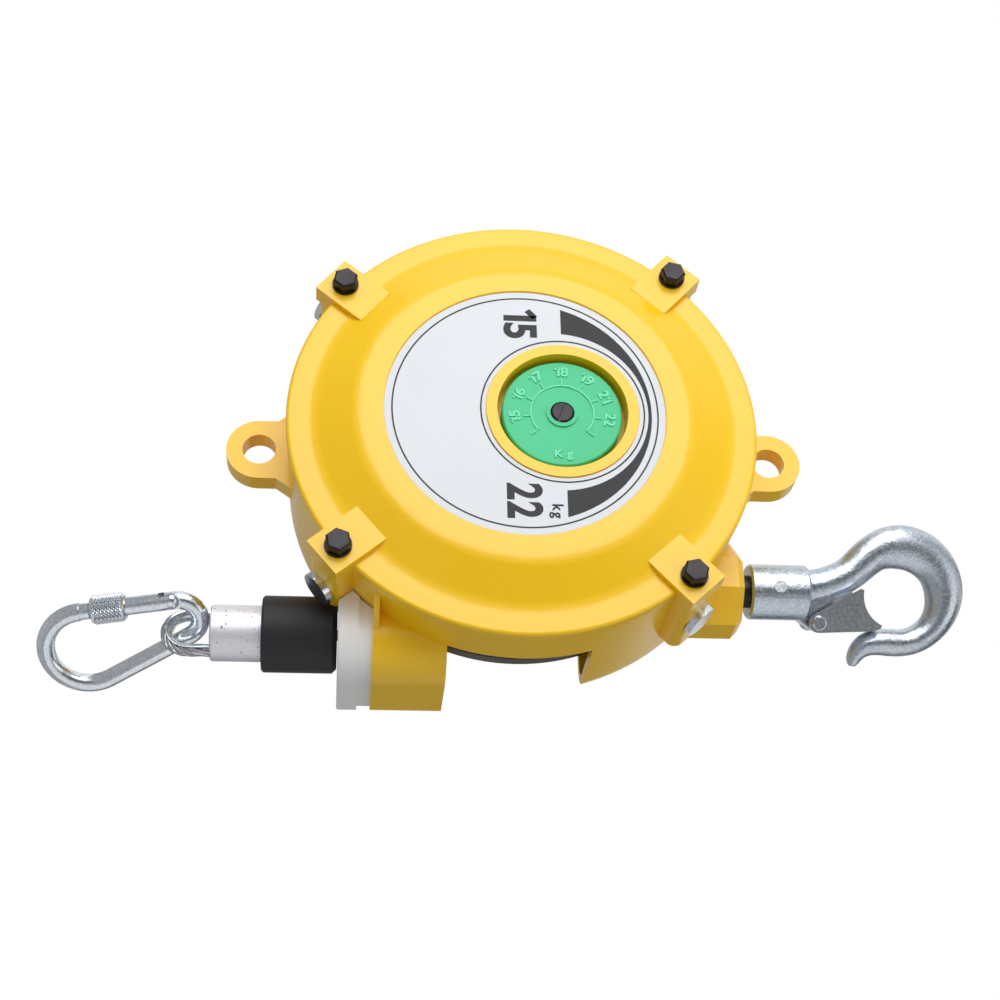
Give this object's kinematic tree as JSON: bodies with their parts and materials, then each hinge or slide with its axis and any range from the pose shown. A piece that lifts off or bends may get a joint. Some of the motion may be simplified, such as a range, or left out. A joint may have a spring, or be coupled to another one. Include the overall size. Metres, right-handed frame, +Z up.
{
  "type": "tool balancer",
  "caption": "Round spring balancer: drum and rope in a bolted casing, swivelling safety hook on top, load dial, rope guide, buffer and screw-gate carabiner.",
  "frame": {"origin": "inside of the suspension hook's bowl, where the balancer hangs", "axes": "+Z up along the rope's line and the hook's shaft, -Y out of the dial face, +X to the left of someone who faces the dial"},
  "size_m": [0.216, 0.087, 0.42],
  "materials": {
    "cast_yellow": "gloss enamel on cast alloy",
    "zinc_steel": "bright zinc plate",
    "black_steel": "black oxide",
    "spring_steel": "blued strip",
    "machined_steel": "machined",
    "bronze": "machined",
    "drum_alloy": "turned casting",
    "wire_rope": "galvanised strands",
    "ferrule_alloy": "pressed, matt",
    "buffer_rubber": "smooth moulded",
    "guide_nylon": "natural nylon",
    "label_sheet": "printed sheet",
    "dial_green": "moulded, satin"
  },
  "bodies": {
    "top_hook": {"suspension_hook": "zinc_steel", "hook_shaft": "black_steel", "hook_nut": "black_steel", "thrust_washer": "black_steel", "hook_roll_pin": "zinc_steel", "latch_rivet": "zinc_steel"},
    "latch": {"hook_latch": "zinc_steel", "latch_spring": "spring_steel"},
    "housing": {"rear_case": "cast_yellow", "front_cover": "cast_yellow", "guide_plate": "guide_nylon", "rope_guide": "guide_nylon", "guide_screws": "black_steel", "cover_bolts": "black_steel", "bolt_washers": "black_steel", "barrel_nuts": "zinc_steel", "scale_label": "label_sheet", "dial_screw": "black_steel", "cover_bush": "bronze", "rear_bush": "bronze", "rear_cap": "zinc_steel"},
    "drum": {"drum": "drum_alloy", "rope_coil": "wire_rope", "spring_lid": "machined_steel", "drum_rear_bush": "bronze", "drum_front_bush": "bronze", "power_spring": "spring_steel"},
    "arbor": {"arbor": "machined_steel", "worm_wheel": "machined_steel", "dial_pinion": "machined_steel"},
    "worm": {"worm": "machined_steel"},
    "dial": {"load_dial": "dial_green"},
    "rope_end": {"buffer": "buffer_rubber", "ferrule": "ferrule_alloy", "rope_lead": "wire_rope", "rope_eye": "wire_rope", "thimble": "zinc_steel"},
    "carabiner": {"carabiner_frame": "zinc_steel", "carabiner_nose": "zinc_steel", "gate_pin": "zinc_steel"},
    "gate": {"carabiner_gate": "zinc_steel"},
    "sleeve": {"gate_sleeve": "zinc_steel"}
  },
  "joints": [
    {"name": "hook_swivel", "type": "hinge", "parent": "top_hook", "child": "housing", "pos_m": [0, 0, 0], "axis": [0, 0, 1], "continuous": true},
    {"name": "latch_pivot", "type": "hinge", "parent": "top_hook", "child": "latch", "pos_m": [0.01166, 0.0062, -0.0524], "axis": [0.4695, -0.8829, 0], "range_deg": [0, 40], "stiffness_Nm_per_rad": 0.05, "springref_deg": -28.65},
    {"name": "drum_spin", "type": "hinge", "parent": "housing", "child": "drum", "pos_m": [-0.0585, -0.00775, -0.1905], "axis": [0, 1, 0], "range_deg": [0, 993.5], "stiffness_Nm_per_rad": 0.45, "springref_deg": -1890.76},
    {"name": "rope_pull", "type": "slide", "parent": "housing", "child": "rope_end", "axis": [0, 0, -1], "range_m": [0, 1.5], "deforming": ["rope_lead"]},
    {"name": "tension_adjust", "type": "hinge", "parent": "housing", "child": "arbor", "pos_m": [-0.0585, -0.00775, -0.1905], "axis": [0, 1, 0], "range_deg": [0, 576]},
    {"name": "dial_turn", "type": "hinge", "parent": "housing", "child": "dial", "pos_m": [-0.0585, -0.0564, -0.174], "axis": [0, 1, 0], "range_deg": [0, 180.01]},
    {"name": "worm_turn", "type": "hinge", "parent": "housing", "child": "worm", "pos_m": [-0.0585, -0.038, -0.2285], "axis": [1, 0, 0], "range_deg": [0, 23041]},
    {"name": "carabiner_swing", "type": "hinge", "parent": "rope_end", "child": "carabiner", "pos_m": [0.024, 0, -0.3321], "axis": [-0.2079, -0.9781, 0], "range_deg": [-15, 25]},
    {"name": "gate_hinge", "type": "hinge", "parent": "carabiner", "child": "gate", "pos_m": [0.01593, -0.0111, -0.34347], "axis": [0.809, -0.5878, 0], "range_deg": [0, 24], "stiffness_Nm_per_rad": 0.05, "springref_deg": -28.65},
    {"name": "sleeve_travel", "type": "slide", "parent": "gate", "child": "sleeve", "axis": [0.098, 0.1349, -0.986], "range_m": [-0.011, 0.004]}
  ],
  "couplings": [
    {"joint": "rope_pull", "follows": "drum_spin", "m_per_rad": 0.0865},
    {"joint": "dial_turn", "follows": "tension_adjust", "ratio": 0.3125},
    {"joint": "worm_turn", "follows": "tension_adjust", "ratio": 40}
  ]
}
